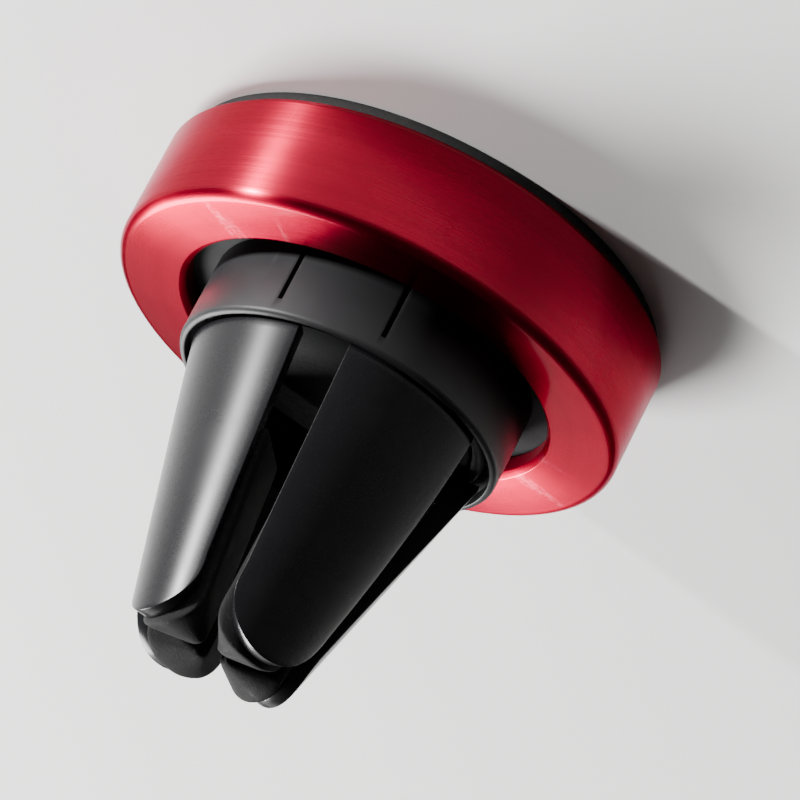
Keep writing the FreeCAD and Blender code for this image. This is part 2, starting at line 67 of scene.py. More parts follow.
MM = 0.001
FULL_TURN = math.radians(360)
QUARTER_TURN = math.radians(90)
EIGHTH_TURN = math.radians(45)
UP = Vector((0, 0, 1))
ORIGIN = Vector((0, 0, 0))
RADIAL_STEPS = 192
NEAR = 1e-3
WELD = 1e-4
SMOOTH_UP_TO = 40
SMOOTH_TURNED = 30
ALL_SMOOTH = 180
SHARP_ANGLE = math.radians(35)


def reach(node):
    """Outer radius, lowest and highest height of a round CAD node, in millimetres."""
    low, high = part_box(node)
    return high.x / MM, low.z / MM, high.z / MM


ring_radius, ring_front, ring_back = reach("ring_housing")
collar_radius, collar_foot, collar_end = reach("collar")
pad_radius, pad_face, pad_plug_end = reach("front_pad")
foot_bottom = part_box("prong_shell_1")[0].z / MM
shell_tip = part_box("prong_shell_1")[1].z / MM
lining_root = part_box("prong_lining_1")[0].z / MM
lining_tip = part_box("prong_lining_1")[1].z / MM

# Ring housing.
RING_WALL = 1.3
LIP_THICK = 1.4
SHOULDER = 1.0
SHOULDER_HEIGHT = 5.0
COLLAR_GAP = 1.45
RING_FRONT_CHAMFER = 0.5
RING_BACK_ROUND = 0.75
HOLE_CHAMFER = 0.35
BROKEN_EDGE = 0.06
bore_radius = ring_radius - RING_WALL
chamber_radius = bore_radius - SHOULDER
hole_radius = collar_radius + COLLAR_GAP

# Front pad.
PLUG_GAP = 0.05
PAD_EDGE_ROUND = 0.3
PLUG_EDGE_ROUND = 0.1

# Collar.
COLLAR_WALL = 0.95
COLLAR_LIP_WALL = 0.45
COLLAR_LIP_DEPTH = 0.8
SLIT_ANGLE = math.radians(18.6)
SLIT_WIDTH = 0.3
SLIT_END = 1.1
COLLAR_END_ROUND = 0.36
COLLAR_LIP_ROUND = 0.06
SLIT_EDGE_ROUND = 0.04
SLIT_EDGE_ANGLE = math.radians(60)

# Prongs: half widths of the slots between them, and the wall of each shell.
ROOT_RADIUS = 9.55
TIP_RADIUS = 5.15
ROOT_WALL = 1.5
TIP_WALL = 0.8
SHELL_LIFT = 0.4
NARROW_ROOT, NARROW_TIP = 1.6, 1.05
WEDGE_ROOT, WEDGE_WAIST, WEDGE_TIP = 3.1, 1.5, 0.5
WAIST_HEIGHT = 7.0
TIP_ROUND = 3.6
TIP_ROUND_STEPS = 12
OUTER_RIM_ROUND = 0.2
INNER_RIM_ROUND = 0.08
RIM_NEAR = 0.02
SHELL_GRID = (20, 44, 1)
BAND_GAP = 0.16
PIN_GAP = 0.05
PIN_HOLE_STEPS = 32
DRILL_LENGTH = 9.2
FOOT_GAP = 0.45
FOOT_THICK = 2.3
FOOT_ANGLE = math.radians(36)
FOOT_STEPS = 12
GUSSET = 2.0
GUSSET_BITE = 0.45
PRONG_AZIMUTHS = [math.radians(degrees) for degrees in (45, 135, 225, 315)]

# Linings.
LINING_FIT = 0.05
LINING_CORE = 0.9
LINING_NARROW_ROOT, LINING_NARROW_TIP = 1.15, 0.25
LINING_WEDGE_ROOT, LINING_WEDGE_TIP = 1.3, 0.15
LINING_CORNER_WIDTH = 0.1
LINING_TIP_ROUND = 2.6
LINING_INNER_DROP = 0.7
LINING_GRID = (9, 20, 4)
LINING_SUBDIVISIONS = 2


# ---------------------------------------------------------------- shader groups

# Where each mask starts and where it is full, as a share of its texture's own range.
SMEAR_RANGE = (0.48, 0.7)
HAIRLINE_RANGE = (0.70, 0.76)
WORN_RANGE = (0.35, 0.6)
SPECK_RANGE = (0.05, 0.3)
HAIRLINE_TURN = (0.4, 0.7, 0.3)
HAIRLINE_STRETCH = (1.0, 1.0, 0.03)
HAIRLINES_PER_MM = 9
NOISE_MIDDLE = 0.5


def add(tree, kind, **settings):
    """New node with its settings; keys of inputs= go to the sockets' own values."""
    node = tree.nodes.new(kind)
    for socket, value in settings.pop("inputs", {}).items():
        node.inputs[socket].default_value = value
    for name, value in settings.items():
        setattr(node, name, value)
    return node


def new_group(name, inputs, outputs):
    """Group with number sockets: its tree, its input node and its output node."""
    group = bpy.data.node_groups.new(name, "ShaderNodeTree")
    for label, default in inputs.items():
        socket = group.interface.new_socket(label, in_out="INPUT", socket_type="NodeSocketFloat")
        socket.default_value = default
    for label in outputs:
        group.interface.new_socket(label, in_out="OUTPUT", socket_type="NodeSocketFloat")
    return group, group.nodes.new("NodeGroupInput"), group.nodes.new("NodeGroupOutput")


def math_node(tree, operation, first, second):
    """Math node; each side is a number or an output socket."""
    node = add(tree, "ShaderNodeMath", operation=operation)
    for socket, value in zip(node.inputs, (first, second)):
        if isinstance(value, (int, float)):
            socket.default_value = value
        else:
            tree.links.new(value, socket)
    return node.outputs["Value"]


def per_mm(tree, size):
    """Texture scale, per metre, for a feature size in millimetres."""
    return math_node(tree, "DIVIDE", 1 / MM, size)


def ramp(tree, value, from_low, from_high, to_low=0.0, to_high=1.0):
    """Smooth step between two limits."""
    node = add(tree, "ShaderNodeMapRange", interpolation_type="SMOOTHSTEP")
    tree.links.new(value, node.inputs["Value"])
    for socket, amount in (("From Min", from_low), ("From Max", from_high),
                           ("To Min", to_low), ("To Max", to_high)):
        if isinstance(amount, (int, float)):
            node.inputs[socket].default_value = amount
        else:
            tree.links.new(amount, node.inputs[socket])
    return node.outputs["Result"]


def noise(tree, coordinates, scale, detail, roughness, dimensions="3D"):
    node = add(tree, "ShaderNodeTexNoise", noise_dimensions=dimensions,
               inputs={"Detail": detail, "Roughness": roughness})
    tree.links.new(coordinates, node.inputs["Vector"])
    if isinstance(scale, (int, float)):
        node.inputs["Scale"].default_value = scale
    else:
        tree.links.new(scale, node.inputs["Scale"])
    return node.outputs["Fac"]


def object_coordinates(tree):
    return tree.nodes.new("ShaderNodeTexCoord").outputs["Object"]


def make_lathe_lines():
    """Fine lines that a lathe leaves round Z, on walls and faces alike."""
    tree, given, out = new_group("lathe_lines", {"Line mm": 0.05, "Roughness": 0.25, "Spread": 0.1},
                                 ["Height", "Roughness", "Tone"])
    parts = add(tree, "ShaderNodeSeparateXYZ")
    tree.links.new(object_coordinates(tree), parts.inputs["Vector"])
    across = math_node(tree, "POWER", parts.outputs["X"], 2)
    along = math_node(tree, "POWER", parts.outputs["Y"], 2)
    radius = math_node(tree, "SQRT", math_node(tree, "ADD", across, along), 0)
    place = add(tree, "ShaderNodeCombineXYZ")
    tree.links.new(radius, place.inputs["X"])
    tree.links.new(parts.outputs["Z"], place.inputs["Y"])
    fine = noise(tree, place.outputs["Vector"], per_mm(tree, given.outputs["Line mm"]),
                 detail=2, roughness=0.6, dimensions="2D")
    broad = noise(tree, place.outputs["Vector"], 1 / MM, detail=1, roughness=0.5, dimensions="2D")
    tree.links.new(fine, out.inputs["Height"])
    tree.links.new(math_node(tree, "ADD", given.outputs["Roughness"],
                             math_node(tree, "MULTIPLY", math_node(tree, "SUBTRACT", fine, NOISE_MIDDLE),
                                       given.outputs["Spread"])), out.inputs["Roughness"])
    tree.links.new(math_node(tree, "ADD", math_node(tree, "MULTIPLY", fine, 0.5),
                             math_node(tree, "MULTIPLY", broad, 0.5)), out.inputs["Tone"])
    return tree


def make_moulded_grain():
    """Spark-eroded mould texture: an even fine grain over slow waves."""
    tree, given, out = new_group("moulded_grain", {"Grain mm": 0.1, "Wave mm": 2.0, "Wave Share": 0.3,
                                                   "Roughness": 0.35, "Spread": 0.1},
                                 ["Height", "Roughness"])
    place = object_coordinates(tree)
    fine = noise(tree, place, per_mm(tree, given.outputs["Grain mm"]), detail=3, roughness=0.6)
    wave = noise(tree, place, per_mm(tree, given.outputs["Wave mm"]), detail=1, roughness=0.4)
    waves = math_node(tree, "MULTIPLY", wave, given.outputs["Wave Share"])
    tree.links.new(math_node(tree, "ADD", fine, waves), out.inputs["Height"])
    both = math_node(tree, "ADD", math_node(tree, "SUBTRACT", fine, NOISE_MIDDLE),
                     math_node(tree, "SUBTRACT", wave, NOISE_MIDDLE))
    tree.links.new(math_node(tree, "ADD", given.outputs["Roughness"],
                             math_node(tree, "MULTIPLY", both, given.outputs["Spread"])),
                   out.inputs["Roughness"])
    return tree


def make_handling():
    """Finger smears in patches, and short hairlines, as one mask."""
    tree, given, out = new_group("handling", {"Patch mm": 6.0, "Smear": 0.5, "Hairlines": 0.5}, ["Mask"])
    place = object_coordinates(tree)
    patch = noise(tree, place, per_mm(tree, given.outputs["Patch mm"]), detail=3, roughness=0.55)
    turned_place = add(tree, "ShaderNodeMapping", inputs={"Rotation": HAIRLINE_TURN,
                                                          "Scale": HAIRLINE_STRETCH})
    tree.links.new(place, turned_place.inputs["Vector"])
    line = noise(tree, turned_place.outputs["Vector"], HAIRLINES_PER_MM / MM, detail=1, roughness=0.5)
    smears = math_node(tree, "MULTIPLY", ramp(tree, patch, *SMEAR_RANGE), given.outputs["Smear"])
    lines = math_node(tree, "MULTIPLY", ramp(tree, line, *HAIRLINE_RANGE), given.outputs["Hairlines"])
    tree.links.new(math_node(tree, "MAXIMUM", smears, lines), out.inputs["Mask"])
    return tree


def make_edge_wear_and_glint():
    """Proud edges, broken up by a fine noise, for worn edges; on the red ring the paler edge is also a
    painted glint.
    """
    tree, given, out = new_group("edge_wear_and_glint", {"Start": 0.52, "End": 0.6, "Breakup mm": 0.4}, ["Mask"])
    proud = tree.nodes.new("ShaderNodeNewGeometry").outputs["Pointiness"]
    edges = ramp(tree, proud, given.outputs["Start"], given.outputs["End"])
    patchy = noise(tree, object_coordinates(tree), per_mm(tree, given.outputs["Breakup mm"]),
                   detail=3, roughness=0.6)
    tree.links.new(math_node(tree, "MULTIPLY", edges, ramp(tree, patchy, *WORN_RANGE)),
                   out.inputs["Mask"])
    return tree


def make_specks():
    """Pale dust specks and lint that cling to rubber."""
    tree, given, out = new_group("specks", {"Speck mm": 0.15, "Share": 0.3}, ["Mask"])
    cells = add(tree, "ShaderNodeTexVoronoi", feature="F1")
    tree.links.new(object_coordinates(tree), cells.inputs["Vector"])
    tree.links.new(per_mm(tree, given.outputs["Speck mm"]), cells.inputs["Scale"])
    near = ramp(tree, cells.outputs["Distance"], *SPECK_RANGE, to_low=1.0, to_high=0.0)
    chosen = add(tree, "ShaderNodeSeparateColor")
    tree.links.new(cells.outputs["Color"], chosen.inputs["Color"])
    kept = math_node(tree, "LESS_THAN", chosen.outputs["Red"], given.outputs["Share"])
    tree.links.new(math_node(tree, "MULTIPLY", near, kept), out.inputs["Mask"])
    return tree


GROUPS = {tree.name: tree for tree in (make_lathe_lines(), make_moulded_grain(), make_handling(),
                                       make_edge_wear_and_glint(), make_specks())}


# ---------------------------------------------------------------- materials

# How much of each mark shows, and the depth of relief in millimetres.
# Share of the ring's paler edge colour: partly wear, partly a painted glint along its edges.
METAL_WEAR_AND_GLINT = 0.5
METAL_SMEAR = 0.14
PLASTIC_SMEAR = 0.25
PLASTIC_WEAR = 0.45
RUBBER_DUST = 0.6
RUBBER_WEAR = 0.3
LATHE_LINE_DEPTH = 0.0015
PLATING_GRAIN_DEPTH = 0.002


def new_material(name, colour, **constants):
    material = bpy.data.materials.new(f"{name}_finish")
    material.use_nodes = True
    material.diffuse_color = (*colour, 1)
    shader = material.node_tree.nodes["Principled BSDF"]
    shader.inputs["Base Color"].default_value = (*colour, 1)
    for label, value in constants.items():
        shader.inputs[label.replace("_", " ")].default_value = value
    return material, material.node_tree, shader


def use(tree, group_name, **values):
    """Place a shared group with this material's own values."""
    node = add(tree, "ShaderNodeGroup", node_tree=GROUPS[group_name])
    for label, value in values.items():
        node.inputs[label.replace("_", " ")].default_value = value
    return node


def blend_colour(tree, mask, first, second):
    """Colour that goes from the first to the second as the mask rises."""
    node = add(tree, "ShaderNodeMix", data_type="RGBA")
    tree.links.new(mask, node.inputs["Factor"])
    for socket, colour in ((node.inputs["A"], first), (node.inputs["B"], second)):
        if isinstance(colour, tuple):
            socket.default_value = (*colour, 1)
        else:
            tree.links.new(colour, socket)
    return node.outputs["Result"]


def bump(tree, shader, height, depth):
    """Relief of a depth in millimetres."""
    node = add(tree, "ShaderNodeBump", inputs={"Strength": 1.0, "Distance": depth * MM})
    tree.links.new(height, node.inputs["Height"])
    tree.links.new(node.outputs["Normal"], shader.inputs["Normal"])


def clamp_sum(tree, first, second):
    """Sum of two outputs, kept within 0 and 1."""
    node = add(tree, "ShaderNodeMath", operation="ADD", use_clamp=True)
    tree.links.new(first, node.inputs[0])
    tree.links.new(second, node.inputs[1])
    return node.outputs["Value"]


def turned_metal(name, colour, deep_colour, worn_colour, edge_tint, roughness, coat):
    """Turned metal whose grooves stretch a highlight across themselves."""
    material, tree, shader = new_material(name, colour, Metallic=1.0, Anisotropic=0.93,
                                          Anisotropic_Rotation=0.25, Coat_Weight=coat,
                                          Coat_Roughness=0.12, Specular_Tint=(*edge_tint, 1))
    lines = use(tree, "lathe_lines", Line_mm=0.04, Roughness=roughness, Spread=0.16)
    marks = use(tree, "handling", Patch_mm=7.0, Smear=0.35, Hairlines=0.25)
    wear = use(tree, "edge_wear_and_glint", Start=0.53, End=0.62, Breakup_mm=0.3)
    toned = blend_colour(tree, lines.outputs["Tone"], deep_colour, colour)
    # Proud edges go a paler red: partly wear, partly a painted glint along the ring's edges.
    worn = math_node(tree, "MULTIPLY", wear.outputs["Mask"], METAL_WEAR_AND_GLINT)
    tree.links.new(blend_colour(tree, worn, toned, worn_colour), shader.inputs["Base Color"])
    smears = math_node(tree, "MULTIPLY", marks.outputs["Mask"], METAL_SMEAR)
    tree.links.new(clamp_sum(tree, lines.outputs["Roughness"], smears), shader.inputs["Roughness"])
    bump(tree, shader, lines.outputs["Height"], LATHE_LINE_DEPTH)
    tangent = add(tree, "ShaderNodeTangent", direction_type="RADIAL", axis="Z")
    tree.links.new(tangent.outputs["Tangent"], shader.inputs["Tangent"])
    return material


def moulded_plastic(name, colour, worn_colour, roughness, spread, grain, depth, smear, shine=0.5):
    """Moulded plastic with its mould's grain, smears where fingers go and paler edges."""
    material, tree, shader = new_material(name, colour, Specular_IOR_Level=shine)
    texture = use(tree, "moulded_grain", Grain_mm=grain, Wave_mm=3.0, Wave_Share=0.6,
                  Roughness=roughness, Spread=spread)
    marks = use(tree, "handling", Patch_mm=4.0, Smear=smear, Hairlines=smear)
    wear = use(tree, "edge_wear_and_glint", Start=0.53, End=0.64, Breakup_mm=0.25)
    marked = math_node(tree, "MULTIPLY", marks.outputs["Mask"], PLASTIC_SMEAR)
    worn = clamp_sum(tree, math_node(tree, "MULTIPLY", wear.outputs["Mask"], PLASTIC_WEAR), marked)
    tree.links.new(blend_colour(tree, worn, colour, worn_colour), shader.inputs["Base Color"])
    tree.links.new(clamp_sum(tree, texture.outputs["Roughness"], marked), shader.inputs["Roughness"])
    bump(tree, shader, texture.outputs["Height"], depth)
    return material


def rubber(name, colour, dusty_colour, roughness, grain, depth, dust_share):
    """Matt rubber: coarse grain, with dust that clings to it."""
    material, tree, shader = new_material(name, colour, Specular_IOR_Level=0.12)
    texture = use(tree, "moulded_grain", Grain_mm=grain, Wave_mm=1.2, Wave_Share=0.3,
                  Roughness=roughness, Spread=0.2)
    dust = use(tree, "specks", Speck_mm=0.16, Share=dust_share)
    wear = use(tree, "edge_wear_and_glint", Start=0.52, End=0.6, Breakup_mm=0.2)
    pale = clamp_sum(tree, math_node(tree, "MULTIPLY", dust.outputs["Mask"], RUBBER_DUST),
                     math_node(tree, "MULTIPLY", wear.outputs["Mask"], RUBBER_WEAR))
    tree.links.new(blend_colour(tree, pale, colour, dusty_colour), shader.inputs["Base Color"])
    tree.links.new(texture.outputs["Roughness"], shader.inputs["Roughness"])
    bump(tree, shader, texture.outputs["Height"], depth)
    return material


def plated_metal(name, colour, spotted_colour, roughness, grain):
    """Plated steel: bright, with faint blotches and a fine rolled grain."""
    material, tree, shader = new_material(name, colour, Metallic=1.0)
    texture = use(tree, "moulded_grain", Grain_mm=grain, Wave_mm=1.5, Wave_Share=0.5,
                  Roughness=roughness, Spread=0.15)
    marks = use(tree, "handling", Patch_mm=2.5, Smear=0.6, Hairlines=0.5)
    tree.links.new(blend_colour(tree, marks.outputs["Mask"], colour, spotted_colour),
                   shader.inputs["Base Color"])
    tree.links.new(texture.outputs["Roughness"], shader.inputs["Roughness"])
    bump(tree, shader, texture.outputs["Height"], PLATING_GRAIN_DEPTH)
    return material


MATERIALS = {material.name.removesuffix("_finish"): material for material in (
    # The ring's worn_colour, a paler red on its proud edges, is partly wear and partly a painted glint.
    turned_metal("red_anodised", colour=(0.32, 0.003, 0.025), deep_colour=(0.20, 0.002, 0.014),
                 worn_colour=(0.45, 0.07, 0.09), edge_tint=(0.85, 0.42, 0.48), roughness=0.28, coat=0.12),
    rubber("pad_rubber", colour=(0.012, 0.012, 0.012), dusty_colour=(0.07, 0.068, 0.065),
           roughness=0.7, grain=0.08, depth=0.006, dust_share=0.15),
    rubber("white_tape", colour=(0.78, 0.78, 0.75), dusty_colour=(0.6, 0.6, 0.57),
           roughness=0.8, grain=0.12, depth=0.01, dust_share=0.3),
    moulded_plastic("carrier_plastic", colour=(0.03, 0.03, 0.031), worn_colour=(0.1, 0.1, 0.1),
                    roughness=0.5, spread=0.15, grain=0.1, depth=0.004, smear=0.3),
    plated_metal("magnet_nickel", colour=(0.66, 0.64, 0.6), spotted_colour=(0.5, 0.47, 0.43),
                 roughness=0.16, grain=0.06),
    plated_metal("plated_steel", colour=(0.6, 0.6, 0.61), spotted_colour=(0.45, 0.45, 0.47),
                 roughness=0.3, grain=0.1),
    moulded_plastic("acetal", colour=(0.8, 0.79, 0.75), worn_colour=(0.7, 0.69, 0.64),
                    roughness=0.42, spread=0.1, grain=0.08, depth=0.002, smear=0.3),
    moulded_plastic("hub_plastic", colour=(0.008, 0.008, 0.009), worn_colour=(0.03, 0.03, 0.03),
                    roughness=0.75, spread=0.14, grain=0.09, depth=0.004, smear=0.3, shine=0.15),
    moulded_plastic("collar_plastic", colour=(0.012, 0.012, 0.013), worn_colour=(0.05, 0.05, 0.053),
                    roughness=0.5, spread=0.12, grain=0.07, depth=0.003, smear=0.2, shine=0.25),
    moulded_plastic("prong_plastic", colour=(0.008, 0.008, 0.009), worn_colour=(0.035, 0.035, 0.038),
                    roughness=0.27, spread=0.05, grain=0.09, depth=0.0008, smear=0.12, shine=0.14),
    rubber("lining_rubber", colour=(0.010, 0.010, 0.010), dusty_colour=(0.07, 0.07, 0.068),
           roughness=0.8, grain=0.14, depth=0.03, dust_share=0.3),
    rubber("elastic_band", colour=(0.06, 0.06, 0.06), dusty_colour=(0.16, 0.16, 0.16),
           roughness=0.55, grain=0.08, depth=0.004, dust_share=0.2),
    plated_metal("pin_steel", colour=(0.58, 0.58, 0.59), spotted_colour=(0.46, 0.46, 0.46),
                 roughness=0.22, grain=0.05),
)}

for part in frame["record"]["subparts"]:
    for material_slot in frame["nodes"][part["node"]].material_slots:
        material_slot.material = MATERIALS[part["material_slot"]]


# ---------------------------------------------------------------- mesh tools

def finished(name, mesh, body, slot, node, smooth_degrees=SMOOTH_UP_TO):
    """Make the bmesh an object in metres, which rides on a body and stands for a CAD node."""
    bmesh.ops.remove_doubles(mesh, verts=mesh.verts, dist=WELD)
    bmesh.ops.recalc_face_normals(mesh, faces=mesh.faces)
    bmesh.ops.scale(mesh, vec=(MM, MM, MM), verts=mesh.verts)
    data = bpy.data.meshes.new(name)
    mesh.to_mesh(data)
    mesh.free()
    data.polygons.foreach_set("use_smooth", [True] * len(data.polygons))
    data.set_sharp_from_angle(angle=math.radians(smooth_degrees))
    data.materials.append(MATERIALS[slot])
    piece = bpy.data.objects.new(name, data)
    bpy.context.scene.collection.objects.link(piece)
    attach(piece, body)
    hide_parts(node)
    return piece


def turned(outline):
    """Full turn of a (radius, height) outline about Z: a ring, or a disc if its ends are on the axis."""
    mesh = bmesh.new()
    corners = [mesh.verts.new((radius, 0, height)) for radius, height in outline]
    runs = [mesh.edges.new(pair) for pair in zip(corners, corners[1:])]
    if outline[0][0] > 0:
        runs.append(mesh.edges.new((corners[-1], corners[0])))
    bmesh.ops.spin(mesh, geom=corners + runs, cent=ORIGIN, axis=UP, angle=FULL_TURN,
                   steps=RADIAL_STEPS, use_merge=True)
    bmesh.ops.remove_doubles(mesh, verts=mesh.verts, dist=WELD)
    return mesh


def sector(outline, azimuth, angle, steps):
    """Closed wedge: part of a turn of a (radius, height) outline, centred on an azimuth."""
    mesh = bmesh.new()
    corners = [mesh.verts.new((radius, 0, height)) for radius, height in outline]
    start = mesh.faces.new(corners)
    bmesh.ops.rotate(mesh, verts=corners, cent=ORIGIN, matrix=Matrix.Rotation(azimuth - angle / 2, 3, "Z"))
    bmesh.ops.spin(mesh, geom=[start] + start.edges[:] + corners, cent=ORIGIN, axis=UP, angle=angle,
                   steps=steps)
    bmesh.ops.recalc_face_normals(mesh, faces=mesh.faces)
    return mesh


def ease(mesh, edges, offset, segments):
    """Round the edges, or chamfer them with one segment."""
    bmesh.ops.bevel(mesh, geom=edges, offset=offset, offset_type="OFFSET", segments=segments,
                    profile=0.5, affect="EDGES", material=-1, clamp_overlap=True)


def circle(mesh, radius, height):
    """Edges of the circle at a radius and a height."""
    return [edge for edge in mesh.edges
            if all(abs(vert.co.z - height) < NEAR and abs(vert.co.xy.length - radius) < NEAR
                   for vert in edge.verts)]


def sharp(mesh, angle):
    """Edges where two faces meet at more than an angle."""
    return [edge for edge in mesh.edges if len(edge.link_faces) == 2 and edge.calc_face_angle(0) > angle]


def combine(target, tool_mesh, operation):
    """Add or subtract a closed shape, and return the result as a new bmesh."""
    holders = []
    for name, mesh in (("target", target), ("tool", tool_mesh)):
        bmesh.ops.recalc_face_normals(mesh, faces=mesh.faces)
        data = bpy.data.meshes.new(name)
        mesh.to_mesh(data)
        mesh.free()
        holder = bpy.data.objects.new(name, data)
        bpy.context.scene.collection.objects.link(holder)
        holders.append(holder)
    shape, tool = holders
    cut = shape.modifiers.new("Cut", "BOOLEAN")
    cut.operation = operation
    cut.solver = "EXACT"
    cut.object = tool
    depsgraph = bpy.context.evaluated_depsgraph_get()
    result = bmesh.new()
    result.from_mesh(shape.evaluated_get(depsgraph).to_mesh())
    for holder in holders:
        bpy.data.objects.remove(holder)
    return result


# ---------------------------------------------------------------- head

def make_ring_housing():
    mesh = turned([
        (bore_radius, ring_front),
        (ring_radius, ring_front),
        (ring_radius, ring_back),
        (hole_radius, ring_back),
        (hole_radius, ring_back - LIP_THICK),
        (chamber_radius, ring_back - LIP_THICK),
        (chamber_radius, SHOULDER_HEIGHT),
        (bore_radius, SHOULDER_HEIGHT),
    ])
    ease(mesh, circle(mesh, ring_radius, ring_front), RING_FRONT_CHAMFER, 1)
    ease(mesh, circle(mesh, ring_radius, ring_back), RING_BACK_ROUND, 8)
    ease(mesh, circle(mesh, hole_radius, ring_back), HOLE_CHAMFER, 1)
    ease(mesh, sharp(mesh, SHARP_ANGLE), BROKEN_EDGE, 2)
    finished("ring_housing_turned", mesh, "head", "red_anodised", "ring_housing", SMOOTH_TURNED)


def make_front_pad():
    plug_radius = bore_radius - PLUG_GAP
    mesh = turned([
        (0, pad_face),
        (pad_radius, pad_face),
        (pad_radius, ring_front),
        (plug_radius, ring_front),
        (plug_radius, pad_plug_end),
        (0, pad_plug_end),
    ])
    ease(mesh, circle(mesh, pad_radius, pad_face), PAD_EDGE_ROUND, 5)
    ease(mesh, circle(mesh, plug_radius, pad_plug_end), PLUG_EDGE_ROUND, 2)
    finished("front_pad_moulded", mesh, "head", "pad_rubber", "front_pad")


# ---------------------------------------------------------------- collar

def make_collar():
    inside = collar_radius - COLLAR_WALL
    lip_inside = collar_radius - COLLAR_LIP_WALL
    lip_start = collar_end - COLLAR_LIP_DEPTH
    mesh = turned([
        (inside, collar_foot),
        (collar_radius, collar_foot),
        (collar_radius, collar_end),
        (lip_inside, collar_end),
        (lip_inside, lip_start),
        (inside, lip_start - (lip_inside - inside)),
    ])
    ease(mesh, circle(mesh, collar_radius, collar_end), COLLAR_END_ROUND, 8)
    ease(mesh, circle(mesh, lip_inside, collar_end), COLLAR_LIP_ROUND, 2)
    # Each plate cuts both walls, from below the foot up to the slits' end.
    slit_height = collar_end - SLIT_END - collar_foot
    for angle in (SLIT_ANGLE, -SLIT_ANGLE):
        plate = bmesh.new()
        bmesh.ops.create_cube(plate, size=1)
        bmesh.ops.scale(plate, verts=plate.verts, vec=(collar_radius * 3, SLIT_WIDTH, slit_height * 2))
        bmesh.ops.rotate(plate, verts=plate.verts, cent=ORIGIN,
                         matrix=Matrix.Rotation(QUARTER_TURN + angle, 3, "Z"))
        bmesh.ops.translate(plate, verts=plate.verts, vec=(0, 0, collar_foot))
        mesh = combine(mesh, plate, "DIFFERENCE")
    ease(mesh, sharp(mesh, SLIT_EDGE_ANGLE), SLIT_EDGE_ROUND, 2)
    finished("collar_moulded", mesh, "clip", "collar_plastic", "collar", SMOOTH_TURNED)


# ---------------------------------------------------------------- prongs

def mix(start, end, share):
    return start + (end - start) * share


def wedge_half(height):
    """Half the wedge slot: an arc through the root, the waist and the tip."""
    z_root, z_waist, z_tip = collar_end, collar_end + WAIST_HEIGHT, shell_tip
    share_root = (height - z_waist) * (height - z_tip) / ((z_root - z_waist) * (z_root - z_tip))
    share_waist = (height - z_root) * (height - z_tip) / ((z_waist - z_root) * (z_waist - z_tip))
    share_tip = (height - z_root) * (height - z_waist) / ((z_tip - z_root) * (z_tip - z_waist))
    return WEDGE_ROOT * share_root + WEDGE_WAIST * share_waist + WEDGE_TIP * share_tip


def shell_share(height):
    """How far up the shells a height is: 0 at the collar's end, 1 at their tips."""
    return (height - collar_end) / (shell_tip - collar_end)


def narrow_half(height):
    """Half the narrow slot: straight from the root to the tip."""
    return mix(NARROW_ROOT, NARROW_TIP, shell_share(height))


def shell_outside(height):
    """Radius of the shells' outer cone, which is upright below the collar's end."""
    return mix(ROOT_RADIUS, TIP_RADIUS, max(0, shell_share(height)))


def shell_inside(height):
    return mix(ROOT_RADIUS - ROOT_WALL, TIP_RADIUS - TIP_WALL, max(0, shell_share(height)))


def lining_outside(height):
    return shell_inside(height) - LINING_FIT


def lining_share(height):
    return (height - lining_root) / (lining_tip - lining_root)


def block(columns, rows, layers):
    """Closed unit block: u across, v along and w from the outer face in, gridded on every side."""
    mesh = bmesh.new()
    made = bmesh.ops.create_grid(mesh, x_segments=columns, y_segments=rows, size=0.5)["verts"]
    bmesh.ops.translate(mesh, verts=made, vec=(0.5, 0.5, 0))
    front = mesh.faces[:]
    for layer in range(layers):
        grown = bmesh.ops.extrude_face_region(mesh, geom=front)["geom"]
        if layer > 0:
            bmesh.ops.delete(mesh, geom=front, context="FACES")
        front = [thing for thing in grown if isinstance(thing, bmesh.types.BMFace)]
        moved = [thing for thing in grown if isinstance(thing, bmesh.types.BMVert)]
        bmesh.ops.translate(mesh, verts=moved, vec=(0, 0, 1 / layers))
    return mesh


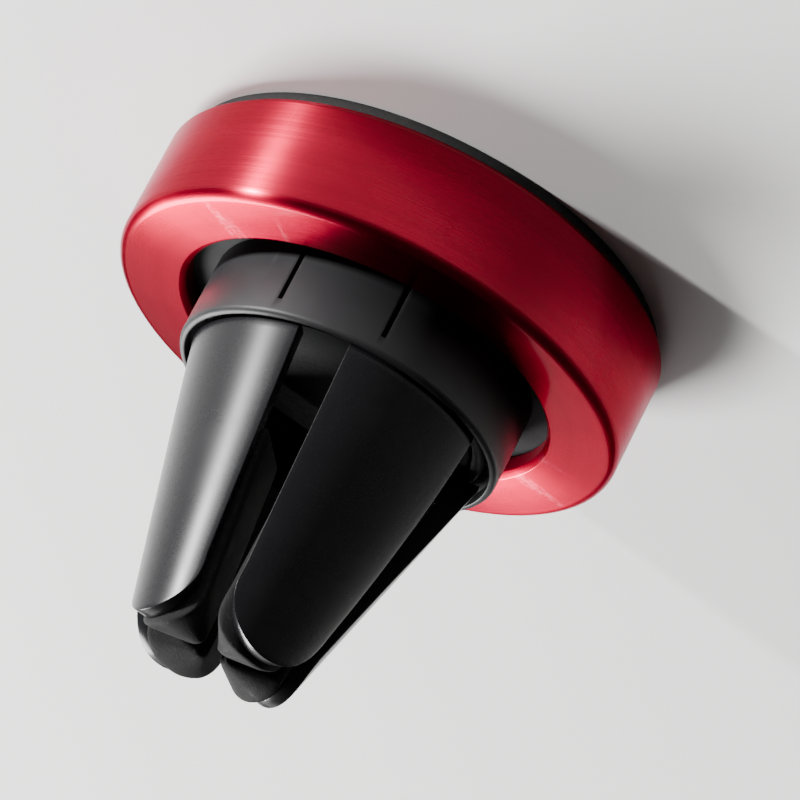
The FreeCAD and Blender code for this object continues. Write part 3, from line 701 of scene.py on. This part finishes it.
class Face:
    """One curved face of a prong that points along +X, with a rounded end.

    low_half and high_half give the half width of the slot on its clockwise and counter-clockwise
    side at a height. Points are (sideways, height).
    """

    def __init__(self, radius_at, low_half, high_half, root, tip, tip_round):
        self.radius_at = radius_at
        self.halves = {-1: low_half, 1: high_half}
        self.root = root
        self.tip = tip
        self.round = tip_round
        # The face narrows upwards, so the widest round that fits is closed in on step by step.
        for _ in range(TIP_ROUND_STEPS):
            height = tip - self.round
            self.round = min(tip_round, (self.edge(1, height) - self.edge(-1, height)) / 2)
        self.centre_height = tip - self.round

    def edge(self, side, height):
        radius = self.radius_at(height)
        lean = EIGHTH_TURN - math.asin(min(1, self.halves[side](height) / radius))
        return side * radius * math.sin(lean)

    def on_side(self, side, share):
        """Up the straight side, then half of the round."""
        straight = self.centre_height - self.root
        run = share * (straight + self.round * EIGHTH_TURN)
        if run <= straight:
            return Vector((self.edge(side, self.root + run), self.root + run))
        turn = (run - straight) / self.round
        middle = self.edge(side, self.centre_height) - side * self.round
        return Vector((middle + side * self.round * math.cos(turn),
                       self.centre_height + self.round * math.sin(turn)))

    def on_top(self, share):
        """Half a round, the flat top and half a round."""
        left = self.edge(-1, self.centre_height) + self.round
        right = self.edge(1, self.centre_height) - self.round
        arc = self.round * EIGHTH_TURN
        run = share * (right - left + 2 * arc)
        if arc <= run <= arc + right - left:
            return Vector((left + run - arc, self.tip))
        side = -1 if run < arc else 1
        from_side = run if side < 0 else right - left + 2 * arc - run
        turn = EIGHTH_TURN + from_side / self.round
        middle = left if side < 0 else right
        return Vector((middle + side * self.round * math.cos(turn),
                       self.centre_height + self.round * math.sin(turn)))

    def at(self, u, v):
        """Point in space at a share across and a share along, filled in from the four sides."""
        bottom = self.on_side(-1, 0) * (1 - u) + self.on_side(1, 0) * u
        flat = bottom * (1 - v) + self.on_top(u) * v + self.on_side(-1, v) * (1 - u)
        flat += self.on_side(1, v) * u
        for side, across in ((-1, 1 - u), (1, u)):
            flat -= (self.on_side(side, 0) * (1 - v) + self.on_side(side, 1) * v) * across
        radius = self.radius_at(flat.y)
        lean = math.asin(max(-1, min(1, flat.x / radius)))
        return Vector((radius * math.cos(lean), radius * math.sin(lean), flat.y))


def narrow_is_ahead(azimuth):
    """True where the narrow slot lies counter-clockwise of the prong."""
    return math.sin(2 * azimuth) > 0


def two_faced(outer, inner, columns, rows, layers):
    """Closed solid between two curved faces."""
    mesh = block(columns, rows, layers)
    for vert in mesh.verts:
        u, v, w = vert.co
        vert.co = outer.at(u, v).lerp(inner.at(u, v), w)
    bmesh.ops.recalc_face_normals(mesh, faces=mesh.faces)
    return mesh


def halves_for(azimuth, narrow, wedge):
    """Half widths of the slots on a prong's clockwise and counter-clockwise side."""
    return (wedge, narrow) if narrow_is_ahead(azimuth) else (narrow, wedge)


def rim(mesh, radius_at):
    """Sharp edges on the curved face with the given radius at each height."""
    return [edge for edge in sharp(mesh, SHARP_ANGLE)
            if all(abs(vert.co.xy.length - radius_at(vert.co.z)) < RIM_NEAR for vert in edge.verts)]


def make_foot():
    """Foot under a shell that points along +X, with its pin's hole and the closing band's groove."""
    outside = collar_radius - COLLAR_WALL - FOOT_GAP
    inside = outside - FOOT_THICK
    band_low, band_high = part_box("closing_band")
    groove_depth = band_high.x / MM - (band_high.z - band_low.z) / MM - BAND_GAP
    groove_low = band_low.z / MM - BAND_GAP
    groove_high = band_high.z / MM + BAND_GAP
    foot = sector([
        (inside, foot_bottom),
        (outside, foot_bottom),
        (outside, groove_low),
        (groove_depth, groove_low),
        (groove_depth, groove_high),
        (outside, groove_high),
        (outside, collar_end),
        (shell_inside(collar_end + GUSSET) + GUSSET_BITE, collar_end + GUSSET),
        (inside, collar_end),
    ], 0, FOOT_ANGLE, FOOT_STEPS)
    pin_low, pin_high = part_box("prong_pin_1")
    drill = bmesh.new()
    radius = (pin_high.z - pin_low.z) / 2 / MM + PIN_GAP
    bmesh.ops.create_cone(drill, cap_ends=True, segments=PIN_HOLE_STEPS, radius1=radius, radius2=radius,
                          depth=DRILL_LENGTH)
    bmesh.ops.rotate(drill, verts=drill.verts, cent=ORIGIN, matrix=Matrix.Rotation(QUARTER_TURN, 3, "X"))
    pin_middle = (pin_low + pin_high) / 2 / MM
    bmesh.ops.translate(drill, verts=drill.verts, vec=(pin_middle.xy.length, 0, pin_middle.z))
    return combine(foot, drill, "DIFFERENCE")


def make_prong_shell(number, azimuth):
    root = collar_end - SHELL_LIFT
    outline = (*halves_for(azimuth, narrow_half, wedge_half), root, shell_tip, TIP_ROUND)
    mesh = two_faced(Face(shell_outside, *outline), Face(shell_inside, *outline), *SHELL_GRID)
    ease(mesh, rim(mesh, shell_outside), OUTER_RIM_ROUND, 4)
    ease(mesh, rim(mesh, shell_inside), INNER_RIM_ROUND, 2)
    mesh = combine(mesh, make_foot(), "UNION")
    bmesh.ops.rotate(mesh, verts=mesh.verts, cent=ORIGIN, matrix=Matrix.Rotation(azimuth, 3, "Z"))
    name = f"prong_shell_{number}"
    finished(f"{name}_moulded", mesh, f"prong_{number}", "prong_plastic", name)


def lining_narrow_half(height):
    return mix(LINING_NARROW_ROOT, LINING_NARROW_TIP, lining_share(height))


def lining_wedge_half(height):
    return mix(LINING_WEDGE_ROOT, LINING_WEDGE_TIP, lining_share(height))


def lining_inside(height):
    """The hollow between the linings, or the corner where the two slots meet if that is wider."""
    corner = math.hypot(lining_narrow_half(height), lining_wedge_half(height))
    return max(LINING_CORE, corner + LINING_CORNER_WIDTH)


def make_prong_lining(number, azimuth):
    halves = halves_for(azimuth, lining_narrow_half, lining_wedge_half)
    outer = Face(lining_outside, *halves, lining_root, lining_tip, LINING_TIP_ROUND)
    inner = Face(lining_inside, *halves, lining_root, lining_tip - LINING_INNER_DROP, LINING_TIP_ROUND)
    mesh = two_faced(outer, inner, *LINING_GRID)
    bmesh.ops.rotate(mesh, verts=mesh.verts, cent=ORIGIN, matrix=Matrix.Rotation(azimuth, 3, "Z"))
    name = f"prong_lining_{number}"
    piece = finished(f"{name}_moulded", mesh, f"prong_{number}", "lining_rubber", name, ALL_SMOOTH)
    soften = piece.modifiers.new("Soften", "SUBSURF")
    soften.levels = LINING_SUBDIVISIONS
    soften.render_levels = LINING_SUBDIVISIONS


# ---------------------------------------------------------------- build

make_ring_housing()
make_front_pad()
make_collar()
for number, azimuth in enumerate(PRONG_AZIMUTHS, start=1):
    make_prong_shell(number, azimuth)
    make_prong_lining(number, azimuth)


# ---------------------------------------------------------------- floor, lights and camera

FLOOR_SIZE = 1.5
FLOOR_COLOUR = (0.80, 0.78, 0.77)
FLOOR_ROUGHNESS = 0.6
STUDIO_COLOUR = (1, 0.99, 0.98)
STUDIO_STRENGTH = 0.05

# Camera, in millimetres. It is rolled over, so that the prongs point down in its view.
EYE = Vector((-76.6, -258.5, 132.0))
TARGET = Vector((-3.5, -1.4, 10.3))
VIEW_UP = Vector((0.3293, -0.5186, -0.7891))
LENS = 225
CLIP_START = 0.01

low, high = (Vector(corner) for corner in cad_box)
centre = (low + high) / 2


def make_floor():
    mesh = bmesh.new()
    bmesh.ops.create_grid(mesh, x_segments=4, y_segments=4, size=FLOOR_SIZE)
    data = bpy.data.meshes.new("floor")
    mesh.to_mesh(data)
    mesh.free()
    floor = bpy.data.objects.new("floor", data)
    bpy.context.scene.collection.objects.link(floor)
    material = bpy.data.materials.new("pale_floor")
    material.use_nodes = True
    shader = material.node_tree.nodes["Principled BSDF"]
    shader.inputs["Base Color"].default_value = (*FLOOR_COLOUR, 1)
    shader.inputs["Roughness"].default_value = FLOOR_ROUGHNESS
    data.materials.append(material)


def softbox(name, azimuth, elevation, distance, width, height, power):
    """Rectangular lamp that faces the mount. Degrees, metres and watts."""
    azimuth, elevation = math.radians(azimuth), math.radians(elevation)
    towards = Vector((math.cos(azimuth) * math.cos(elevation),
                      math.sin(azimuth) * math.cos(elevation), math.sin(elevation)))
    lamp = bpy.data.lights.new(name, "AREA")
    lamp.shape = "RECTANGLE"
    lamp.size = width
    lamp.size_y = height
    lamp.energy = power
    holder = bpy.data.objects.new(name, lamp)
    bpy.context.scene.collection.objects.link(holder)
    holder.location = centre + towards * distance
    holder.rotation_euler = towards.to_track_quat("Z", "Y").to_euler()
    holder.visible_camera = False


def make_camera():
    backwards = (EYE - TARGET).normalized()
    right = VIEW_UP.cross(backwards).normalized()
    up = backwards.cross(right)
    turn = Matrix((right, up, backwards)).transposed()
    camera = bpy.data.objects.new("camera", bpy.data.cameras.new("camera"))
    bpy.context.scene.collection.objects.link(camera)
    camera.matrix_world = Matrix.Translation(EYE * MM) @ turn.to_4x4()
    camera.data.lens = LENS
    camera.data.clip_start = CLIP_START
    bpy.context.scene.camera = camera


def make_world():
    world = bpy.data.worlds.new("studio")
    world.use_nodes = True
    background = world.node_tree.nodes["Background"]
    background.inputs["Color"].default_value = (*STUDIO_COLOUR, 1)
    background.inputs["Strength"].default_value = STUDIO_STRENGTH
    bpy.context.scene.world = world


make_floor()
make_world()
softbox("key", azimuth=46, elevation=38, distance=0.6, width=0.25, height=0.25, power=11)
softbox("backdrop", azimuth=74, elevation=30, distance=0.6, width=0.6, height=0.25, power=1.1)
softbox("stripe", azimuth=-33, elevation=6, distance=0.4, width=0.02, height=0.06, power=5.5)
make_camera()
